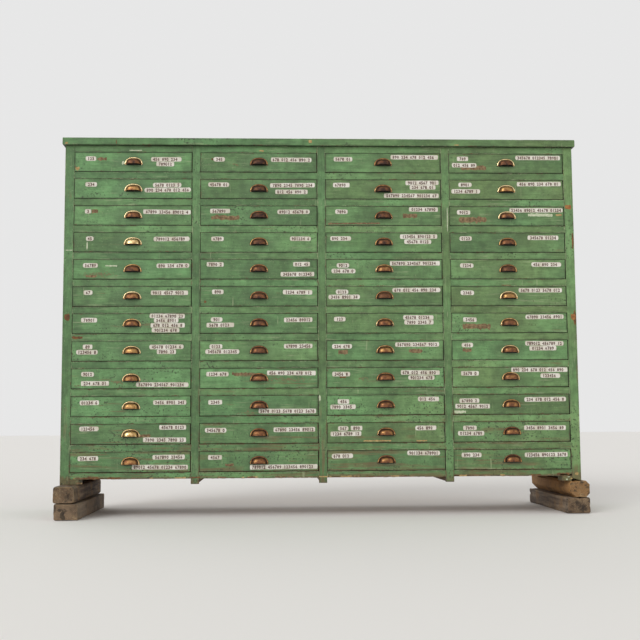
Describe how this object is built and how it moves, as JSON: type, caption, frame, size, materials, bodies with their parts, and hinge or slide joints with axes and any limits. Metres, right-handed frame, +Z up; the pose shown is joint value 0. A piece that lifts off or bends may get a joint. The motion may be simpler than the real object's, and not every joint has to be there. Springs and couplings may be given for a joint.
{
  "type": "bank of drawers",
  "caption": "Floor-standing bank of shallow flush drawers with brass cup pulls in a green painted face frame, raised on pairs of loose timber bearers",
  "frame": {"origin": "on the floor, in the middle of the whole piece's footprint", "axes": "+X runs to the right along the front, +Y from the drawer fronts to the back, +Z up"},
  "size_m": [2.489, 0.85, 1.7902],
  "materials": {
    "painted_pine": "satin",
    "bare_pine": "matte",
    "weathered_timber": "matte",
    "aged_brass": "satin",
    "label_paper": "matte",
    "iron_screw": "matte"
  },
  "bodies": {
    "carcass": {"end_panels": "painted_pine", "partitions": "bare_pine", "face_stiles": "painted_pine", "face_rails": "painted_pine", "runners": "bare_pine", "guides": "bare_pine", "bottom_boards": "bare_pine", "back_boards": "bare_pine", "top_boards": "painted_pine", "foot_blocks": "painted_pine", "upper_bearers": "weathered_timber", "lower_bearers": "weathered_timber"},
    "body_r01_c1": {"drawer_r01_c1": "painted_pine"},
    "body_r02_c1": {"drawer_r02_c1": "painted_pine"},
    "body_r03_c1": {"drawer_r03_c1": "painted_pine"},
    "body_r04_c1": {"drawer_r04_c1": "painted_pine"},
    "body_r05_c1": {"drawer_r05_c1": "painted_pine"},
    "body_r06_c1": {"drawer_r06_c1": "painted_pine"},
    "body_r07_c1": {"drawer_r07_c1": "painted_pine"},
    "body_r08_c1": {"drawer_r08_c1": "painted_pine"},
    "body_r09_c1": {"drawer_r09_c1": "painted_pine"},
    "body_r10_c1": {"drawer_r10_c1": "painted_pine"},
    "body_r11_c1": {"drawer_r11_c1": "painted_pine"},
    "body_r12_c1": {"drawer_r12_c1": "painted_pine"},
    "body_r01_c2": {"drawer_r01_c2": "painted_pine"},
    "body_r02_c2": {"drawer_r02_c2": "painted_pine"},
    "body_r03_c2": {"drawer_r03_c2": "painted_pine"},
    "body_r04_c2": {"drawer_r04_c2": "painted_pine"},
    "body_r05_c2": {"drawer_r05_c2": "painted_pine"},
    "body_r06_c2": {"drawer_r06_c2": "painted_pine"},
    "body_r07_c2": {"drawer_r07_c2": "painted_pine"},
    "body_r08_c2": {"drawer_r08_c2": "painted_pine"},
    "body_r09_c2": {"drawer_r09_c2": "painted_pine"},
    "body_r10_c2": {"drawer_r10_c2": "painted_pine"},
    "body_r11_c2": {"drawer_r11_c2": "painted_pine"},
    "body_r12_c2": {"drawer_r12_c2": "painted_pine"},
    "body_r01_c3": {"drawer_r01_c3": "painted_pine"},
    "body_r02_c3": {"drawer_r02_c3": "painted_pine"},
    "body_r03_c3": {"drawer_r03_c3": "painted_pine"},
    "body_r04_c3": {"drawer_r04_c3": "painted_pine"},
    "body_r05_c3": {"drawer_r05_c3": "painted_pine"},
    "body_r06_c3": {"drawer_r06_c3": "painted_pine"},
    "body_r07_c3": {"drawer_r07_c3": "painted_pine"},
    "body_r08_c3": {"drawer_r08_c3": "painted_pine"},
    "body_r09_c3": {"drawer_r09_c3": "painted_pine"},
    "body_r10_c3": {"drawer_r10_c3": "painted_pine"},
    "body_r11_c3": {"drawer_r11_c3": "painted_pine"},
    "body_r12_c3": {"drawer_r12_c3": "painted_pine"},
    "body_r01_c4": {"drawer_r01_c4": "painted_pine"},
    "body_r02_c4": {"drawer_r02_c4": "painted_pine"},
    "body_r03_c4": {"drawer_r03_c4": "painted_pine"},
    "body_r04_c4": {"drawer_r04_c4": "painted_pine"},
    "body_r05_c4": {"drawer_r05_c4": "painted_pine"},
    "body_r06_c4": {"drawer_r06_c4": "painted_pine"},
    "body_r07_c4": {"drawer_r07_c4": "painted_pine"},
    "body_r08_c4": {"drawer_r08_c4": "painted_pine"},
    "body_r09_c4": {"drawer_r09_c4": "painted_pine"},
    "body_r10_c4": {"drawer_r10_c4": "painted_pine"},
    "body_r11_c4": {"drawer_r11_c4": "painted_pine"},
    "body_r12_c4": {"drawer_r12_c4": "painted_pine"}
  },
  "joints": [
    {"name": "slide_r01_c1", "type": "slide", "parent": "carcass", "child": "body_r01_c1", "axis": [0, -1, 0], "range_m": [0, 0.4]},
    {"name": "slide_r02_c1", "type": "slide", "parent": "carcass", "child": "body_r02_c1", "axis": [0, -1, 0], "range_m": [0, 0.4]},
    {"name": "slide_r03_c1", "type": "slide", "parent": "carcass", "child": "body_r03_c1", "axis": [0, -1, 0], "range_m": [0, 0.4]},
    {"name": "slide_r04_c1", "type": "slide", "parent": "carcass", "child": "body_r04_c1", "axis": [0, -1, 0], "range_m": [0, 0.4]},
    {"name": "slide_r05_c1", "type": "slide", "parent": "carcass", "child": "body_r05_c1", "axis": [0, -1, 0], "range_m": [0, 0.4]},
    {"name": "slide_r06_c1", "type": "slide", "parent": "carcass", "child": "body_r06_c1", "axis": [0, -1, 0], "range_m": [0, 0.4]},
    {"name": "slide_r07_c1", "type": "slide", "parent": "carcass", "child": "body_r07_c1", "axis": [0, -1, 0], "range_m": [0, 0.4]},
    {"name": "slide_r08_c1", "type": "slide", "parent": "carcass", "child": "body_r08_c1", "axis": [0, -1, 0], "range_m": [0, 0.4]},
    {"name": "slide_r09_c1", "type": "slide", "parent": "carcass", "child": "body_r09_c1", "axis": [0, -1, 0], "range_m": [0, 0.4]},
    {"name": "slide_r10_c1", "type": "slide", "parent": "carcass", "child": "body_r10_c1", "axis": [0, -1, 0], "range_m": [0, 0.4]},
    {"name": "slide_r11_c1", "type": "slide", "parent": "carcass", "child": "body_r11_c1", "axis": [0, -1, 0], "range_m": [0, 0.4]},
    {"name": "slide_r12_c1", "type": "slide", "parent": "carcass", "child": "body_r12_c1", "axis": [0, -1, 0], "range_m": [0, 0.4]},
    {"name": "slide_r01_c2", "type": "slide", "parent": "carcass", "child": "body_r01_c2", "axis": [0, -1, 0], "range_m": [0, 0.4]},
    {"name": "slide_r02_c2", "type": "slide", "parent": "carcass", "child": "body_r02_c2", "axis": [0, -1, 0], "range_m": [0, 0.4]},
    {"name": "slide_r03_c2", "type": "slide", "parent": "carcass", "child": "body_r03_c2", "axis": [0, -1, 0], "range_m": [0, 0.4]},
    {"name": "slide_r04_c2", "type": "slide", "parent": "carcass", "child": "body_r04_c2", "axis": [0, -1, 0], "range_m": [0, 0.4]},
    {"name": "slide_r05_c2", "type": "slide", "parent": "carcass", "child": "body_r05_c2", "axis": [0, -1, 0], "range_m": [0, 0.4]},
    {"name": "slide_r06_c2", "type": "slide", "parent": "carcass", "child": "body_r06_c2", "axis": [0, -1, 0], "range_m": [0, 0.4]},
    {"name": "slide_r07_c2", "type": "slide", "parent": "carcass", "child": "body_r07_c2", "axis": [0, -1, 0], "range_m": [0, 0.4]},
    {"name": "slide_r08_c2", "type": "slide", "parent": "carcass", "child": "body_r08_c2", "axis": [0, -1, 0], "range_m": [0, 0.4]},
    {"name": "slide_r09_c2", "type": "slide", "parent": "carcass", "child": "body_r09_c2", "axis": [0, -1, 0], "range_m": [0, 0.4]},
    {"name": "slide_r10_c2", "type": "slide", "parent": "carcass", "child": "body_r10_c2", "axis": [0, -1, 0], "range_m": [0, 0.4]},
    {"name": "slide_r11_c2", "type": "slide", "parent": "carcass", "child": "body_r11_c2", "axis": [0, -1, 0], "range_m": [0, 0.4]},
    {"name": "slide_r12_c2", "type": "slide", "parent": "carcass", "child": "body_r12_c2", "axis": [0, -1, 0], "range_m": [0, 0.4]},
    {"name": "slide_r01_c3", "type": "slide", "parent": "carcass", "child": "body_r01_c3", "axis": [0, -1, 0], "range_m": [0, 0.4]},
    {"name": "slide_r02_c3", "type": "slide", "parent": "carcass", "child": "body_r02_c3", "axis": [0, -1, 0], "range_m": [0, 0.4]},
    {"name": "slide_r03_c3", "type": "slide", "parent": "carcass", "child": "body_r03_c3", "axis": [0, -1, 0], "range_m": [0, 0.4]},
    {"name": "slide_r04_c3", "type": "slide", "parent": "carcass", "child": "body_r04_c3", "axis": [0, -1, 0], "range_m": [0, 0.4]},
    {"name": "slide_r05_c3", "type": "slide", "parent": "carcass", "child": "body_r05_c3", "axis": [0, -1, 0], "range_m": [0, 0.4]},
    {"name": "slide_r06_c3", "type": "slide", "parent": "carcass", "child": "body_r06_c3", "axis": [0, -1, 0], "range_m": [0, 0.4]},
    {"name": "slide_r07_c3", "type": "slide", "parent": "carcass", "child": "body_r07_c3", "axis": [0, -1, 0], "range_m": [0, 0.4]},
    {"name": "slide_r08_c3", "type": "slide", "parent": "carcass", "child": "body_r08_c3", "axis": [0, -1, 0], "range_m": [0, 0.4]},
    {"name": "slide_r09_c3", "type": "slide", "parent": "carcass", "child": "body_r09_c3", "axis": [0, -1, 0], "range_m": [0, 0.4]},
    {"name": "slide_r10_c3", "type": "slide", "parent": "carcass", "child": "body_r10_c3", "axis": [0, -1, 0], "range_m": [0, 0.4]},
    {"name": "slide_r11_c3", "type": "slide", "parent": "carcass", "child": "body_r11_c3", "axis": [0, -1, 0], "range_m": [0, 0.4]},
    {"name": "slide_r12_c3", "type": "slide", "parent": "carcass", "child": "body_r12_c3", "axis": [0, -1, 0], "range_m": [0, 0.4]},
    {"name": "slide_r01_c4", "type": "slide", "parent": "carcass", "child": "body_r01_c4", "axis": [0, -1, 0], "range_m": [0, 0.4]},
    {"name": "slide_r02_c4", "type": "slide", "parent": "carcass", "child": "body_r02_c4", "axis": [0, -1, 0], "range_m": [0, 0.4]},
    {"name": "slide_r03_c4", "type": "slide", "parent": "carcass", "child": "body_r03_c4", "axis": [0, -1, 0], "range_m": [0, 0.4]},
    {"name": "slide_r04_c4", "type": "slide", "parent": "carcass", "child": "body_r04_c4", "axis": [0, -1, 0], "range_m": [0, 0.4]},
    {"name": "slide_r05_c4", "type": "slide", "parent": "carcass", "child": "body_r05_c4", "axis": [0, -1, 0], "range_m": [0, 0.4]},
    {"name": "slide_r06_c4", "type": "slide", "parent": "carcass", "child": "body_r06_c4", "axis": [0, -1, 0], "range_m": [0, 0.4]},
    {"name": "slide_r07_c4", "type": "slide", "parent": "carcass", "child": "body_r07_c4", "axis": [0, -1, 0], "range_m": [0, 0.4]},
    {"name": "slide_r08_c4", "type": "slide", "parent": "carcass", "child": "body_r08_c4", "axis": [0, -1, 0], "range_m": [0, 0.4]},
    {"name": "slide_r09_c4", "type": "slide", "parent": "carcass", "child": "body_r09_c4", "axis": [0, -1, 0], "range_m": [0, 0.4]},
    {"name": "slide_r10_c4", "type": "slide", "parent": "carcass", "child": "body_r10_c4", "axis": [0, -1, 0], "range_m": [0, 0.4]},
    {"name": "slide_r11_c4", "type": "slide", "parent": "carcass", "child": "body_r11_c4", "axis": [0, -1, 0], "range_m": [0, 0.4]},
    {"name": "slide_r12_c4", "type": "slide", "parent": "carcass", "child": "body_r12_c4", "axis": [0, -1, 0], "range_m": [0, 0.4]}
  ]
}
